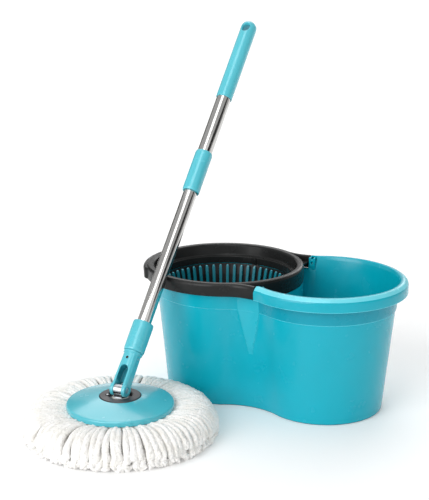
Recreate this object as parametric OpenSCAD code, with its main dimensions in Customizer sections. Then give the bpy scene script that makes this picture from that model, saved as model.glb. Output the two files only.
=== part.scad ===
// Hand-press spin mop set: two-lobe bucket, lift-in wringer basket, telescopic mop.
// Origin: centre of the bucket's base on the floor. +Z up, +X from wringer lobe to water lobe.
// Units are millimetres.

/* [Bucket] */
// distance between the two lobe centres
lobe_gap = 174; // [160:1:190]
// height of the rim crest
rim_z = 209.5; // [200:0.5:220]
// outer radius of each lobe at the rim
rim_r = 127.5; // [120:0.5:134]
// outer radius of each lobe at the base
base_r = 92.6; // [86:0.2:100]
// wall thickness
wall = 2.2; // [1.8:0.1:3]

/* [Wringer] */
// inner radius of the frame's ring at the top
ring_in = 114; // [110:0.5:118]
// number of fingers round the basket
fingers = 54; // [36:1:64]
// outer radius of the basket at the top
basket_r = 104; // [98:0.5:104]
// width of the slot between two fingers
slot_w = 6.8; // [5:0.2:8]

/* [Mop] */
// radius of the plate
plate_r = 80; // [75:1:85]
// outer radius of the yarn lying on the floor
yarn_r = 146; // [130:1:150]
// mop centre, from the origin
mop_x = -130; // [-140:1:-120]
mop_y = -251; // [-260:1:-245]
// height of the yoke's pin above the floor
pin_z = 68; // [64:1:72]
// lean of the pole from vertical, toward the bucket
lean = 39.7; // [35:0.1:42]

/* [Pole] */
// outer radius of the lower tube
low_r = 10.9; // [10:0.1:12]
// outer radius of the upper tube
up_r = 11.75; // [11.3:0.05:13]
// distance from the pin to the top of the grip
pole_top = 658; // [600:1:700]
// lead of the twisted rod
lead = 100; // [80:5:140]

/* [Hidden] */
$fn = 64;
cl = -lobe_gap / 2;
cr = lobe_gap / 2;
dsum = 189;                                  // lobe radius plus waist radius, at every height
yf = sqrt(dsum * dsum - cr * cr);            // waist arc centres lie at (0, +-yf)
ang = atan2(yf, cr);                         // direction of the lobe-to-waist joint
sill_z = 188;                                // top of the cut-down rim under the frame
split_x = 16.8;                              // the full rim starts here
nl = 40;                                     // steps round a lobe
nf = 9;                                      // steps round a waist arc
fn_big = 96;
eps = 0.01;

// one closed outline at lobe radius r and height z, anticlockwise, symmetric about X
function ring_pts(r, z) = concat(
    [for (i = [0 : nl]) let (t = -(180 - ang) + 2 * (180 - ang) * i / nl)
        [cr + r * cos(t), r * sin(t), z]],
    [for (i = [1 : nf - 1]) let (t = -ang - (180 - 2 * ang) * i / nf)
        [(dsum - r) * cos(t), yf + (dsum - r) * sin(t), z]],
    [for (i = [0 : nl]) let (t = ang + 2 * (180 - ang) * i / nl)
        [cl + r * cos(t), r * sin(t), z]],
    [for (i = [1 : nf - 1]) let (t = (180 - ang) - (180 - 2 * ang) * i / nf)
        [(dsum - r) * cos(t), -yf + (dsum - r) * sin(t), z]]);
n_out = 2 * (nl + 1) + 2 * (nf - 1);

// solid with one outline per [r, z] row, capped flat at both ends
module lofted(rows) {
    m = len(rows);
    polyhedron(
        points = [for (p = rows) for (q = ring_pts(p[0], p[1])) q],
        faces = concat(
            [for (k = [0 : m - 2]) for (i = [0 : n_out - 1])
                [k * n_out + i, (k + 1) * n_out + i,
                 (k + 1) * n_out + (i + 1) % n_out, k * n_out + (i + 1) % n_out]],
            [[for (i = [0 : n_out - 1]) i]],
            [[for (i = [0 : n_out - 1]) m * n_out - 1 - i]]));
}

// closed band: the [r, z] rows are a closed section, clockwise seen with r to the right
module banded(rows) {
    m = len(rows);
    polyhedron(
        points = [for (p = rows) for (q = ring_pts(p[0], p[1])) q],
        faces = [for (k = [0 : m - 1]) for (i = [0 : n_out - 1])
            let (k2 = (k + 1) % m, i2 = (i + 1) % n_out)
                [k * n_out + i, k * n_out + i2, k2 * n_out + i2, k2 * n_out + i]]);
}

function wall_r(z) = base_r + 0.1 * z;       // draft of the bucket wall
step_z = 164;                                // the wall steps out here
step_out = 1.5;

tub_rows = [
    [86, 0], [base_r - 1.4, 0], [base_r + 0.1, 1.8],
    [wall_r(step_z - 1.6), step_z - 1.6], [wall_r(step_z) + step_out, step_z],
    [wall_r(203) + step_out, 203],
    [118, 206.6], [122.6, 205.8], [124.7, 203.4], [125.2, 188.9], [126.4, sill_z + 0.2],
    [127.4, 188.9], [rim_r - 0.3, 203.6], [126.4, 206.2], [124.2, 208.2],
    [120.8, rim_z - 0.3], [117.2, rim_z], [114.4, 208.9], [112.9, 207],
    [wall_r(203) + step_out - wall - 0.2, 203],
    [wall_r(step_z) + step_out - wall, step_z - 1],
    [wall_r(step_z - 3) - wall, step_z - 3],
    [wall_r(8) - wall, 8], [88, 4.2], [84, 3.4]];

module bucket_shape() {
    difference() {
        union() {
            difference() {
                lofted(tub_rows);
                translate([split_x - 400, -200, sill_z - 0.12]) cube([400, 400, 60]);
                for (s = [-1, 1])
                    translate([split_x - 1, s * 60 - 41, sill_z - 0.12]) cube([13.5, 82, 60]);
            }
            // sill that the wringer frame sits on
            difference() {
                banded([[111.4, sill_z - 2.3], [111.4, sill_z], [121, sill_z],
                        [121, sill_z - 2.3]]);
                translate([29, -200, 150]) cube([200, 400, 60]);
            }
            // lock posts just inside the rim's cut ends
            for (s = [-1, 1])
                translate([split_x + 0.7, s * 97.6 - 4.7, sill_z - 1.3]) cube([10.4, 9.4, 20.5]);
            // partition wall round the wringer chamber
            intersection() {
                lofted([[88.6, 2.4], [wall_r(8) - 1.2, 8], [wall_r(step_z - 3) - 1.2, step_z - 3],
                        [wall_r(step_z) + 0.3, step_z - 1], [wall_r(180.6) + 0.3, 180.6]]);
                translate([cl, 0, 0]) difference() {
                    cylinder(r = 124.8, h = 200, $fn = fn_big);
                    translate([0, 0, -1]) cylinder(r = 122.6, h = 202, $fn = fn_big);
                    translate([-200, -200, -1]) cube([260, 400, 210]);
                }
            }
        }
        // pin hole through each post
        for (s = [-1, 1])
            translate([split_x + 5.9, s * 98, 198.2]) rotate([90, 0, 0])
                cylinder(r = 2.1, h = 14, center = true, $fn = 16);
    }
}
module bucket() color([0.16, 0.67, 0.75])
    resize([0, 0, 0]) bucket_shape();

frame_rows = [
    [123.4, sill_z + 0.3], [125.4, sill_z + 0.3], [125.7, 204.4], [125, 206.8], [122.8, 208.2],
    [117.6, 208.6], [115.2, 207.8], [ring_in, 205.6], [111.9, 192], [110.6, 190.4],
    [107.9, 190], [106.9, 189], [106, 178], [108, 178], [108.6, 186.4], [109.4, sill_z],
    [113.9, sill_z], [115.9, 204.6], [117.2, 206.2], [122.6, 206], [123.6, 204.2]];
band_rows = [[118, sill_z + 0.4], [118, 207.2], [119.6, 208.45], [124, 208.15], [126.2, 206.7],
    [127.1, 204.35], [127.4, sill_z + 0.4]];
hollow_rows = [[120, 187], [120.4, 205.85], [124, 205.85], [124.9, 203.9], [125.2, 187]];
boss_a = [90, 210, 330];                     // where the bridge is screwed on
lug_half = 44;                               // half angle of the pouring lug

module frame_shape() {
    translate([cl, 0, 0]) difference() {
        union() {
            rotate_extrude($fn = fn_big) polygon(frame_rows);
            // deeper outer wall over the partition
            intersection() {
                difference() {
                    translate([0, 0, 181]) cylinder(r = 125.32, h = 9, $fn = fn_big);
                    translate([0, 0, 180]) cylinder(r = 123.47, h = 12, $fn = fn_big);
                }
                translate([88, -84, 170]) cube([60, 168, 30]);
            }
            // bosses for the bridge screws
            for (a = boss_a) rotate([0, 0, a])
                translate([106.6, 0, 178]) cylinder(r = 2.9, h = 11, $fn = 24);
        }
        for (a = boss_a) rotate([0, 0, a])
            translate([106.6, 0, 177]) cylinder(r = 1.3, h = 9, $fn = 16);
    }
    // band along the waist, down to the rim ends
    difference() {
        banded(band_rows);
        difference() {
            banded(hollow_rows);
            translate([split_x - 2.5, -200, 150]) cube([300, 400, 80]);
            translate([-306, -200, 150]) cube([300, 400, 80]);
        }
        translate([split_x - 0.3, -200, 150]) cube([300, 400, 80]);
        translate([cl, 0, 150]) cylinder(r = 124.6, h = 80, $fn = fn_big);
    }
    // lug for lifting and pouring on the outer end
    translate([cl, 0, 0]) difference() {
        rotate([0, 0, 180 - lug_half]) rotate_extrude(angle = 2 * lug_half, $fn = fn_big)
            polygon([[124.1, sill_z + 0.7], [134, sill_z + 0.7], [134.6, 203.2], [132.9, 205.5],
                     [130, 206.1], [124.1, 206.1]]);
        rotate([0, 0, 182 - lug_half]) rotate_extrude(angle = 2 * lug_half - 4, $fn = fn_big)
            polygon([[128.2, 180], [131.7, 180], [132, 201.9], [130.6, 203.6], [128.4, 203.6]]);
    }
}
module wringer_frame() color([0.24, 0.25, 0.26])
    resize([0, 0, 0]) frame_shape();

arm_rows = [[106.1, 177.9], [108.9, 177.9], [108.4, 171.5], [105.4, 159], [96.6, 96],
    [92.5, 74], [86, 68.5], [8, 68.5], [8, 73], [83, 73], [89, 79], [93.8, 98],
    [102.5, 160], [104.9, 171.5]];
module bearing_bridge() color([0.2, 0.2, 0.22])
translate([cl, 0, 0]) difference() {
    union() {
        for (a = boss_a) rotate([0, 0, a]) rotate([90, 0, 0])
            linear_extrude(height = 12, center = true) polygon(arm_rows);
        translate([0, 0, 65]) cylinder(r = 15, h = 8.5);
        // splash skirt behind the basket's fingers, open below for the drain
        rotate_extrude($fn = fn_big) polygon([[106.9, 176.9], [108.1, 176.9], [107.3, 171.5],
            [104.5, 159.5], [96.1, 99.5], [94.9, 99.5], [103.3, 159.7], [106, 171.5]]);
    }
    translate([0, 0, 60]) cylinder(r = 4, h = 20);
    for (a = boss_a) rotate([0, 0, a])
        translate([106.6, 0, 165]) cylinder(r = 1.4, h = 20, $fn = 24);
    // seats for the screw heads
    for (a = boss_a) rotate([0, 0, a])
        translate([106.6, 0, 164]) cylinder(r = 2.3, h = 9.4, $fn = 24);
}

module bridge_screws() color([0.75, 0.75, 0.77])
for (a = boss_a) translate([cl, 0, 0]) rotate([0, 0, a]) translate([106.6, 0, 0]) {
    translate([0, 0, 171.6]) cylinder(r = 2.1, h = 1.8, $fn = 24);
    translate([0, 0, 173]) cylinder(r = 1.2, h = 12, $fn = 24);
}

module basket_axle() color([0.72, 0.73, 0.75])
translate([cl, 0, 0]) difference() {
    translate([0, 0, 61]) cylinder(r = 4, h = 47);
    translate([0, 0, 62.5]) difference() {
        cylinder(r = 6, h = 1.2);
        cylinder(r = 3, h = 1.2);
    }
}

module axle_clip() color([0.55, 0.56, 0.58])
translate([cl, 0, 62.6]) difference() {
    cylinder(r = 7.5, h = 1);
    translate([0, 0, -1]) cylinder(r = 3.05, h = 3);
    translate([-2.4, -10, -1]) cube([4.8, 8, 3]);
}

module thrust_washer() color([0.85, 0.85, 0.82])
translate([cl, 0, 73.5]) difference() {
    cylinder(r = 9.5, h = 1.4);
    translate([0, 0, -1]) cylinder(r = 4.05, h = 4);
}

module axle_bush() color([0.88, 0.88, 0.84])
translate([cl, 0, 75.2]) difference() {
    cylinder(r = 7, h = 33);
    translate([0, 0, -1]) cylinder(r = 4.06, h = 35);
}

fl_z = 82;                                   // underside of the basket floor
top_z = 176;                                 // tips of the fingers
bask_rows = [[7, 75.2], [12, 75.2], [16, fl_z], [84.5, fl_z], [89.2, fl_z + 5],
    [90.6, 97], [basket_r, top_z], [basket_r - 3.4, top_z], [87.4, 99],
    [85.6, fl_z + 6.5], [82, fl_z + 3.2], [20, fl_z + 3.2], [13.4, 110], [11, 116], [7, 116]];
module spin_basket() color([0.2, 0.6, 0.68])
translate([cl, 0, 0]) difference() {
    rotate_extrude($fn = fn_big) polygon(bask_rows);
    for (i = [0 : fingers - 1]) rotate([0, 0, 360 * i / fingers])
        translate([84, -slot_w / 2, 106]) cube([30, slot_w, 80]);
    // drain slots in the floor
    for (i = [0 : 17]) rotate([0, 0, 20 * i + 10])
        translate([34, -2, fl_z - 1]) cube([42, 4, 8]);
}

module basket_hub_cap() color([0.3, 0.74, 0.8])
translate([cl, 0, 0]) rotate_extrude()
    polygon([[0, 110], [6.9, 110], [6.9, 116], [11, 116], [10, 119], [6, 121.4], [0, 122]]);

module mop_yarn() color([0.94, 0.94, 0.92])
translate([mop_x, mop_y, 0]) rotate_extrude($fn = fn_big)
    polygon([[26, 0], [139, 0], [yarn_r - 1, 4], [yarn_r, 9], [yarn_r - 3, 18], [136, 29],
             [118, 37], [98, 40.6], [plate_r + 1.2, 41], [plate_r - 2.8, 34], [60, 33.4],
             [26, 22]]);

module refill_ring() color([0.9, 0.9, 0.88])
translate([mop_x, mop_y, 0]) rotate_extrude($fn = fn_big)
    polygon([[61, 33.5], [76.8, 34.3], [76.8, 41], [74, 42], [61, 42]]);

rise = 10;                                   // height of the plate's cone
module mop_plate() color([0.36, 0.78, 0.83])
translate([mop_x, mop_y, 0]) {
    difference() {
        rotate_extrude($fn = fn_big) polygon([
            [77.2, 41.2], [plate_r, 41.2], [plate_r, 47.8], [plate_r - 1.2, 49.3],
            [31.2, 59.2], [31.2, 54], [25, 54], [25, 51.4], [34, 51.4], [57.8, 51],
            [57.8, 36], [60.6, 36], [60.6, 50.4], [76.2, 47.2], [77.2, 46.4]]);
        for (a = [30, 150, 270]) rotate([0, 0, a])
            translate([28, 0, 50]) cylinder(r = 1.6, h = 6, $fn = 24);
    }
}

module hub_insert() color([0.3, 0.28, 0.3])
translate([mop_x, mop_y, 0]) difference() {
    rotate_extrude($fn = 72) polygon([
        [6.06, 46], [11, 46], [11.4, 51], [24.6, 51], [24.6, 54.2], [31, 54.2], [31, 59],
        [29.8, 59.9], [19.5, 60.4], [18, 59.8], [17, 55.5], [6.06, 55.5]]);
    for (a = [30, 150, 270]) rotate([0, 0, a])
        translate([28, 0, 53]) cylinder(r = 1.25, h = 5.4, $fn = 24);
}

module insert_screws() color([0.75, 0.75, 0.77])
translate([mop_x, mop_y, 0]) for (a = [30, 150, 270]) rotate([0, 0, a])
    translate([28, 0, 0]) {
        translate([0, 0, 49.2]) cylinder(r = 2.8, h = 2.2, $fn = 24);
        translate([0, 0, 51]) cylinder(r = 1.2, h = 7, $fn = 24);
    }

module neck_washer() color([0.9, 0.9, 0.86])
translate([mop_x, mop_y, 55.55]) difference() {
    cylinder(r = 12, h = 1);
    translate([0, 0, -1]) cylinder(r = 6.1, h = 3);
}

module swivel_neck() color([0.62, 0.64, 0.67])
translate([mop_x, mop_y, 0]) difference() {
    union() {
        translate([0, 0, 42]) cylinder(r = 6, h = 20);
        translate([0, 0, 56.6]) cylinder(r = 9.6, h = 0.9);
        intersection() {
            union() {
                translate([0, 0, pin_z]) rotate([0, 90, 0])
                    cylinder(r = 9, h = 13.2, center = true);
                translate([-6.6, -7, 57]) cube([13.2, 14, 8]);
            }
            translate([-6.6, -12, 57]) cube([13.2, 24, 30]);
        }
    }
    translate([0, 0, pin_z]) rotate([0, 90, 0]) cylinder(r = 3.06, h = 30, center = true);
    translate([0, 0, 43.6]) difference() {
        cylinder(r = 7, h = 1.2);
        cylinder(r = 4.8, h = 1.2);
    }
}

module neck_clip() color([0.55, 0.56, 0.58])
translate([mop_x, mop_y, 43.7]) difference() {
    cylinder(r = 10, h = 1);
    translate([0, 0, -1]) cylinder(r = 4.85, h = 3);
    translate([-4, -14, -1]) cube([8, 12, 3]);
}

// pole frame: Z runs up the pole from the pin
module pole() translate([mop_x, mop_y, pin_z]) rotate([-lean, 0, 0]) children();

module pivot_pin() color([0.7, 0.71, 0.73])
pole() rotate([0, 90, 0]) {
    translate([0, 0, -11.4]) cylinder(r = 3, h = 23);
    translate([0, 0, 9.6]) cylinder(r = 4.6, h = 2);
}

module pivot_nut() color([0.62, 0.63, 0.65])
pole() rotate([0, 90, 0]) translate([0, 0, -11.6]) difference() {
    cylinder(r = 4.6, h = 2, $fn = 6);
    translate([0, 0, -1]) cylinder(r = 3, h = 4);
}

module yoke() color([0.3, 0.74, 0.8])
pole() difference() {
    union() {
        for (s = [-1, 1]) translate([s * 9.75, 0, 0]) rotate([0, 90, 0])
            cylinder(r = 10, h = 5.5, center = true);
        intersection() {
            translate([0, 0, 0]) cylinder(r1 = 14.4, r2 = 13, h = 57);
            translate([-12.5, -10, 0]) cube([25, 20, 57]);
        }
        translate([0, 0, 30]) cylinder(r = 12.5, h = 27);
        translate([0, 0, 56]) cylinder(r = 14.4, h = 3.7);
        translate([0, 0, 59]) cylinder(r = 12.2, h = 42);
    }
    // gap for the neck
    translate([-7, -20, -12]) cube([14, 40, 24.5]);
    // above it the slot is a pocket, closed at the back by a web
    translate([-7, -20, 12]) cube([14, 23.5, 17]);
    translate([0, 3.5, 29]) rotate([90, 0, 0]) cylinder(r = 7, h = 24);
    // socket for the tube
    translate([0, 0, 42]) cylinder(r = low_r, h = 62);
    // pin, its head and its nut
    rotate([0, 90, 0]) cylinder(r = 3, h = 40, center = true);
    rotate([0, 90, 0]) translate([0, 0, 9.6]) cylinder(r = 4.6, h = 8);
    rotate([0, -90, 0]) translate([0, 0, 9.6]) cylinder(r = 4.7, h = 8);
    // rivet hole
    translate([0, 0, 50]) rotate([0, 90, 0]) cylinder(r = 2, h = 40, center = true);
}

module yoke_rivet() color([0.7, 0.71, 0.73])
pole() translate([0, 0, 50]) rotate([0, 90, 0]) cylinder(r = 2, h = 23.6, center = true);

module lock_sleeve() color([0.36, 0.78, 0.83])
pole() rotate_extrude()
    polygon([[12.3, 60], [14.8, 60], [15.6, 61.4], [16, 64], [16, 104], [15.4, 107],
             [14.2, 108], [11.1, 108], [11.1, 103], [12.3, 101.6]]);

low_top = 398;                               // top of the lower tube
module lower_tube() color([0.75, 0.76, 0.78])
pole() difference() {
    translate([0, 0, 42]) cylinder(r = low_r, h = low_top - 42);
    translate([0, 0, 41]) cylinder(r = low_r - 0.8, h = low_top);
    translate([0, 0, 50]) rotate([0, 90, 0]) cylinder(r = 2, h = 40, center = true);
}

module nut_housing() color([0.3, 0.3, 0.32])
pole() difference() {
    translate([0, 0, low_top - 30]) cylinder(r = low_r - 0.8, h = 21);
    translate([0, 0, low_top - 31]) cylinder(r = 4.9, h = 24);
    translate([0, 0, low_top - 12]) cylinder(r = 7.9, h = 4);
}

module housing_cap() color([0.86, 0.86, 0.82])
pole() difference() {
    union() {
        translate([0, 0, low_top - 9]) cylinder(r = low_r - 0.8, h = 9);
        translate([0, 0, low_top]) cylinder(r = up_r - 0.6 - 0.08, h = 3);
    }
    translate([0, 0, low_top - 12]) cylinder(r = 4.9, h = 24);
}

nut_s = low_top - 10.5;                      // middle of the nut's disc
module drive_nut() color([0.8, 0.66, 0.35])
pole() translate([0, 0, nut_s]) rotate([0, 0, 360 * (nut_s - 312) / lead]) difference() {
    cylinder(r = 7.6, h = 2, center = true);
    cube([9, 3.3, 4], center = true);
}

module drive_rod() color([0.66, 0.67, 0.7])
pole() translate([0, 0, 312])
    linear_extrude(height = 300, twist = -360 * 300 / lead, slices = 108, $fn = 4)
        square([8, 2.2], center = true);

module rod_anchor() color([0.3, 0.3, 0.32])
pole() difference() {
    translate([0, 0, 601]) cylinder(r = up_r - 0.6, h = 26);
    translate([0, 0, 600]) cylinder(r = 4.2, h = 12);
    translate([0, 0, 619]) rotate([0, 90, 0]) cylinder(r = 1.6, h = 40, center = true);
}

module upper_tube() color([0.78, 0.79, 0.81])
pole() difference() {
    translate([0, 0, 346]) cylinder(r = up_r, h = 628 - 346);
    translate([0, 0, 345]) cylinder(r = up_r - 0.6, h = 300);
    translate([0, 0, 619]) rotate([0, 90, 0]) cylinder(r = 1.6, h = 40, center = true);
}

module anchor_rivet() color([0.7, 0.71, 0.73])
pole() translate([0, 0, 619]) rotate([0, 90, 0]) cylinder(r = 1.6, h = 22, center = true);

module collar_insert() color([0.86, 0.86, 0.82])
pole() rotate_extrude()
    polygon([[low_r + 0.08, 338], [12.6, 338], [12.6, 396], [up_r, 396], [up_r, 346],
             [low_r + 0.08, 346]]);

module lock_collar() color([0.33, 0.76, 0.82])
pole() rotate_extrude()
    polygon([[11.3, 334.6], [13.2, 334.6], [13.8, 336.2], [14, 339], [14, 401], [13.7, 404.4],
             [12.9, 406], [11.95, 406], [11.95, 397], [12.7, 396.4], [12.7, 337.6],
             [11.3, 337.6]]);

grip_r = 13.25;
module grip() color([0.36, 0.78, 0.83])
pole() difference() {
    rotate_extrude() polygon(concat(
        [[up_r, 508], [12.6, 508], [grip_r, 509.2]],
        [for (t = [0 : 9 : 81]) [grip_r * cos(t), pole_top - grip_r + grip_r * sin(t)]],
        [[0, pole_top], [0, 628.5], [up_r, 628.5]]));
    translate([0, 0, 641.5]) rotate([90, 0, 0]) cylinder(r = 6.5, h = 60, center = true);
}

bucket();
wringer_frame();
bearing_bridge();
bridge_screws();
basket_axle();
axle_clip();
thrust_washer();
axle_bush();
spin_basket();
basket_hub_cap();
mop_yarn();
refill_ring();
mop_plate();
hub_insert();
insert_screws();
swivel_neck();
neck_washer();
neck_clip();
pivot_pin();
pivot_nut();
yoke();
yoke_rivet();
lock_sleeve();
lower_tube();
nut_housing();
housing_cap();
drive_nut();
drive_rod();
rod_anchor();
upper_tube();
anchor_rivet();
collar_insert();
lock_collar();
grip();
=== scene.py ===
import math
import random

import bmesh
import bpy
import numpy as np
from mathutils import Matrix, Vector


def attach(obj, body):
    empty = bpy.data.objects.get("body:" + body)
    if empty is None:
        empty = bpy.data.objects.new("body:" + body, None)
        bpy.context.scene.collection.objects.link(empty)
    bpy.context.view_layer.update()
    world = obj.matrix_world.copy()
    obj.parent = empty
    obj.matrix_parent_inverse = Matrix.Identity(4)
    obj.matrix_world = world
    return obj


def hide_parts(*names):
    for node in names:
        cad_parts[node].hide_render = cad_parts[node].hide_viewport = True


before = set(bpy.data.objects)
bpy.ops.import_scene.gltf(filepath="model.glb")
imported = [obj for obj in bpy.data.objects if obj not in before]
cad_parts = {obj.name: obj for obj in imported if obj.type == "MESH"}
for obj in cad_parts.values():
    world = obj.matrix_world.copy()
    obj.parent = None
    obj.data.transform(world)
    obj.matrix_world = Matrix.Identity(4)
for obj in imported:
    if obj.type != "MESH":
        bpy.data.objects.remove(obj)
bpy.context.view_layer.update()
scene = bpy.context.scene
MM = 0.001
TAU = 2 * math.pi

# The main sizes, in millimetres. Most are those of the CAD source.
# Bucket: the lobes' centres lie at X = -CR and CR. A waist arc, centred at Y = YF, joins them
# on each side, and its radius and the lobe's radius add up to DSUM.
CR, DSUM = 87.0, 189.0
YF = math.sqrt(DSUM * DSUM - CR * CR)
ANG = math.atan2(YF, CR)
ARC_X = 49.0               # past this X every outline used here is on a lobe's arc
WAIST_X = 34.0             # up to this X the painting takes the waist arc
SILL, RIM_Z = 188.0, 209.5     # heights of the wringer side's sill and of the full rim
SPLIT = 16.8               # X where the full rim ends
BASE_R, DRAFT, WALL = 92.6, 0.1, 2.2
STEP_Z, STEP_OUT = 164.0, 1.5  # the wall steps outwards here, by so much
PANEL_Z = 84.0             # foot of the waist panel
END_R = 3.6                # rounding of the rim's two cut ends
POST_Y, POST_RIM_Y = 97.6, 101.0   # middle of a lock post, and the rim's inner face beside it
ROOT_R = 124.4             # inside the wringer ring's wall: its lug and webs start here
# Basket
FINGERS, FL_Z, TOP_Z, BASK_R = 54, 82.0, 176.0, 104.0
# Mop and pole: the pole's own Z runs up along it from the cross pin
MOP = (-130.0, -251.0)
PIN_Z, LEAN = 68.0, math.radians(39.7)
LOW_R, UP_R, GRIP_R, POLE_TOP = 10.9, 11.75, 13.25, 658.0
RIVET_Z, HANG_Z = 47.5, 641.5  # the yoke's dimple and the grip's hang hole


# ---------------------------------------------------------------- mesh helpers
def fillet(pts, rad, seg=4, closed=False):
    """A 2-D polyline with its corners rounded. rad is one radius, or one per point."""
    out, n = [], len(pts)
    for i, p in enumerate(pts):
        r = rad[i] if hasattr(rad, "__len__") else rad
        if r <= 0 or (not closed and i in (0, n - 1)):
            out.append((float(p[0]), float(p[1])))
            continue
        p = np.array(p, float)
        u, v = np.array(pts[i - 1], float) - p, np.array(pts[(i + 1) % n], float) - p
        lu, lv = np.linalg.norm(u), np.linalg.norm(v)
        u, v = u / lu, v / lv
        half = math.acos(float(np.clip(u @ v, -1, 1))) / 2
        if half > 1.54:
            out.append((float(p[0]), float(p[1])))
            continue
        d = min(r / math.tan(half), 0.46 * min(lu, lv))
        rr = d * math.tan(half)
        c = p + (u + v) / np.linalg.norm(u + v) * rr / math.sin(half)
        q0, q1 = p + u * d - c, p + v * d - c
        a0 = math.atan2(q0[1], q0[0])
        da = (math.atan2(q1[1], q1[0]) - a0 + math.pi) % TAU - math.pi
        for k in range(seg + 1):
            t = a0 + da * k / seg
            out.append((c[0] + rr * math.cos(t), c[1] + rr * math.sin(t)))
    return out


class Geo:
    """Vertices and faces in millimetres, gathered from several shapes."""

    def __init__(self):
        self.v, self.f = [], []

    def add(self, verts, faces):
        o = len(self.v)
        self.v += [tuple(p) for p in verts]
        self.f += [tuple(i + o for i in f) for f in faces]
        return self

    def lathe(self, rows, n=128, a0=0.0, a1=TAU, closed=False, centre=(0, 0)):
        """Rows of (radius, height) turned round an upright axis, in n steps from a0 to a1."""
        full = abs(a1 - a0 - TAU) < 1e-6
        cols, m = (n if full else n + 1), len(rows)
        v = []
        for i in range(cols):
            a = a0 + (a1 - a0) * i / n
            ca, sa = math.cos(a), math.sin(a)
            v += [(centre[0] + r * ca, centre[1] + r * sa, z) for r, z in rows]
        f = []
        for i in range(n):
            j = (i + 1) % cols
            for k in range(m if closed else m - 1):
                l = (k + 1) % m
                f.append((i * m + k, j * m + k, j * m + l, i * m + l))
        if not full and closed:
            f.append(tuple(range(m)))
            f.append(tuple(n * m + k for k in reversed(range(m))))
        return self.add(v, f)

    def sweep(self, stations):
        """A capped tube through closed sections, one list of 3-D points each, of one length."""
        n, m = len(stations), len(stations[0])
        v = [p for s in stations for p in s]
        f = []
        for i in range(n - 1):
            j = i + 1
            for k in range(m):
                l = (k + 1) % m
                f.append((i * m + k, j * m + k, j * m + l, i * m + l))
        f.append(tuple(range(m)))
        f.append(tuple((n - 1) * m + k for k in reversed(range(m))))
        return self.add(v, f)

    def box(self, lo, hi):
        x0, y0, z0 = lo
        x1, y1, z1 = hi
        v = [(x, y, z) for x in (x0, x1) for y in (y0, y1) for z in (z0, z1)]
        f = [(0, 1, 3, 2), (4, 6, 7, 5), (0, 4, 5, 1), (2, 3, 7, 6), (0, 2, 6, 4), (1, 5, 7, 3)]
        return self.add(v, f)


def make(name, geo, mat, sharp=35.0, weld=0.002, matrix=None):
    """An object from a Geo. Points closer than weld become one."""
    me = bpy.data.meshes.new(name)
    v = np.array(geo.v, float)
    if matrix is not None:
        m = np.array(matrix, float)
        v = v @ m[:3, :3].T + m[:3, 3]
    me.from_pydata((v * MM).tolist(), [], geo.f)
    bm = bmesh.new()
    bm.from_mesh(me)
    bmesh.ops.remove_doubles(bm, verts=bm.verts, dist=weld * MM)
    bmesh.ops.recalc_face_normals(bm, faces=bm.faces)
    bm.to_mesh(me)
    bm.free()
    ob = bpy.data.objects.new(name, me)
    scene.collection.objects.link(ob)
    finish_mesh(ob, mat, sharp)
    return ob


def finish_mesh(ob, mat, sharp=35.0):
    """Smooth shading, with edges over the sharp angle kept (180 keeps none)."""
    me = ob.data
    me.shade_smooth()
    if sharp < 180:
        me.set_sharp_from_angle(angle=math.radians(sharp))
    me.materials.clear()
    me.materials.append(mat)


def bake(ob):
    """Applies every modifier."""
    dg = bpy.context.evaluated_depsgraph_get()
    dg.update()
    me = bpy.data.meshes.new_from_object(ob.evaluated_get(dg))
    ob.modifiers.clear()
    old = ob.data
    ob.data = me
    bpy.data.meshes.remove(old)


def cut(ob, *tools, op="DIFFERENCE"):
    """One exact boolean after another. The tools are used up."""
    for t in tools:
        m = ob.modifiers.new("b", "BOOLEAN")
        m.operation, m.object, m.solver = op, t, "EXACT"
        bake(ob)
        bpy.data.objects.remove(t)


def soften(ob, voxel, smooth, mat, sharp):
    """Moulded look: fine remesh, then the edges are rounded by smoothing."""
    r = ob.modifiers.new("r", "REMESH")
    r.mode, r.voxel_size = "VOXEL", voxel * MM
    bake(ob)
    s = ob.modifiers.new("s", "SMOOTH")
    s.factor, s.iterations = 0.5, smooth
    bake(ob)
    finish_mesh(ob, mat, sharp)


def bevel(ob, width, segments, angle, mat):
    """Rounds the edges over the angle, which also stays the sharp angle of the shading."""
    b = ob.modifiers.new("bevel", "BEVEL")
    b.width, b.segments = width * MM, segments
    b.limit_method, b.angle_limit = "ANGLE", math.radians(angle)
    bake(ob)
    finish_mesh(ob, mat, angle)


def paint(ob, mat, test):
    """Gives the faces that pass the test (centre in mm, normal) their own material."""
    ob.data.materials.append(mat)
    k = len(ob.data.materials) - 1
    for p in ob.data.polygons:
        if test(p.center / MM, p.normal):
            p.material_index = k


def tool(geo, matrix=None):
    """A body for cut(), which removes it again."""
    return make("tool", geo, TOOL_MAT, matrix=matrix)


def cyl(r, z0, z1, n=48, r2=None):
    """An upright cylinder, or a cone when its top radius r2 is given."""
    r2 = r if r2 is None else r2
    return Geo().lathe([(0, z0), (r, z0), (r2, z1), (0, z1)], n)


ROT_X = Matrix.Rotation(math.pi / 2, 4, "Y")        # Z axis turned to X
ROT_Y = Matrix.Rotation(-math.pi / 2, 4, "X")       # Z axis turned to Y
POLE = Matrix.Translation((MOP[0], MOP[1], PIN_Z)) @ Matrix.Rotation(-LEAN, 4, "X")


# ---------------------------------------------------------------- materials
def lin(r, g, b):
    """An sRGB colour in 0 to 255 as a linear RGBA one."""
    f = lambda c: c / 12.92 if c <= 0.04045 else ((c + 0.055) / 1.055) ** 2.4
    return tuple(f(c / 255) for c in (r, g, b)) + (1.0,)


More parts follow.
